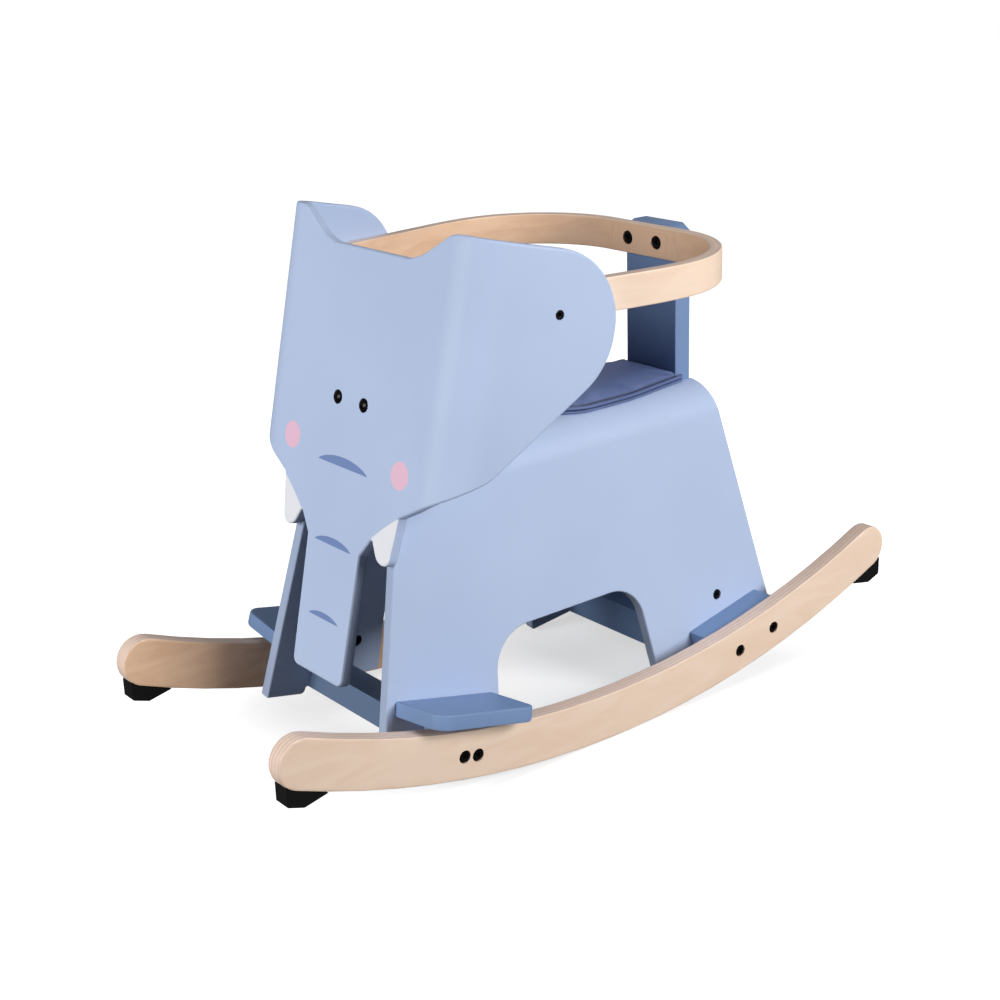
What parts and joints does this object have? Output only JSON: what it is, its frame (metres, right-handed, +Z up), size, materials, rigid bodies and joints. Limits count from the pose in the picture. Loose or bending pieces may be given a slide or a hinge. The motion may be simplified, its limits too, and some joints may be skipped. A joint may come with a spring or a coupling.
{
  "type": "rocking elephant",
  "caption": "Child's rocking elephant: bent plywood saddle and eared head on curved rockers, with a padded seat, footrests and a guard hoop.",
  "frame": {"origin": "on the floor under the middle of the toy, midway between the rockers and between their ends", "axes": "+Z up, -Y the way the face looks, +X the animal's left"},
  "size_m": [0.356, 0.7974, 0.5251],
  "materials": {
    "birch": "clear-lacquered birch plywood",
    "pale_blue_paint": "satin pale blue paint on plywood",
    "mid_blue_paint": "satin mid blue paint on wood",
    "slate_blue_paint": "satin slate blue paint on wood",
    "leatherette": "soft blue leatherette",
    "rubber": "matt black rubber",
    "black_gloss": "glossy black cap",
    "black_steel": "black oxide"
  },
  "bodies": {
    "root": {"rocker_left": "birch", "rocker_right": "birch", "guard_hoop": "birch", "saddle_shell": "pale_blue_paint", "head_sheet": "pale_blue_paint", "neck_board": "pale_blue_paint", "back_post": "mid_blue_paint", "front_rail": "mid_blue_paint", "rear_block": "mid_blue_paint", "rear_rail": "mid_blue_paint", "front_spacer_left": "mid_blue_paint", "front_spacer_right": "mid_blue_paint", "rear_spacer_left": "mid_blue_paint", "rear_spacer_right": "mid_blue_paint", "footrest_left": "mid_blue_paint", "footrest_right": "mid_blue_paint", "front_bar": "slate_blue_paint", "seat_cushion": "leatherette", "stop_front_left": "rubber", "stop_front_right": "rubber", "stop_rear_left": "rubber", "stop_rear_right": "rubber", "eye_bolt_left": "black_gloss", "eye_bolt_right": "black_gloss", "rocker_front_bolt_1_left": "black_steel", "rocker_front_bolt_1_right": "black_steel", "rocker_front_bolt_2_left": "black_steel", "rocker_front_bolt_2_right": "black_steel", "rocker_rear_bolt_1_left": "black_steel", "rocker_rear_bolt_1_right": "black_steel", "rocker_rear_bolt_2_left": "black_steel", "rocker_rear_bolt_2_right": "black_steel", "rail_bolt_left": "black_steel", "rail_bolt_right": "black_steel", "footrest_bolt_1_left": "black_steel", "footrest_bolt_1_right": "black_steel", "footrest_bolt_2_left": "black_steel", "footrest_bolt_2_right": "black_steel", "ear_bolt_left": "black_steel", "ear_bolt_right": "black_steel", "hoop_bolt_left": "black_steel", "hoop_bolt_right": "black_steel"}
  },
  "joints": []
}
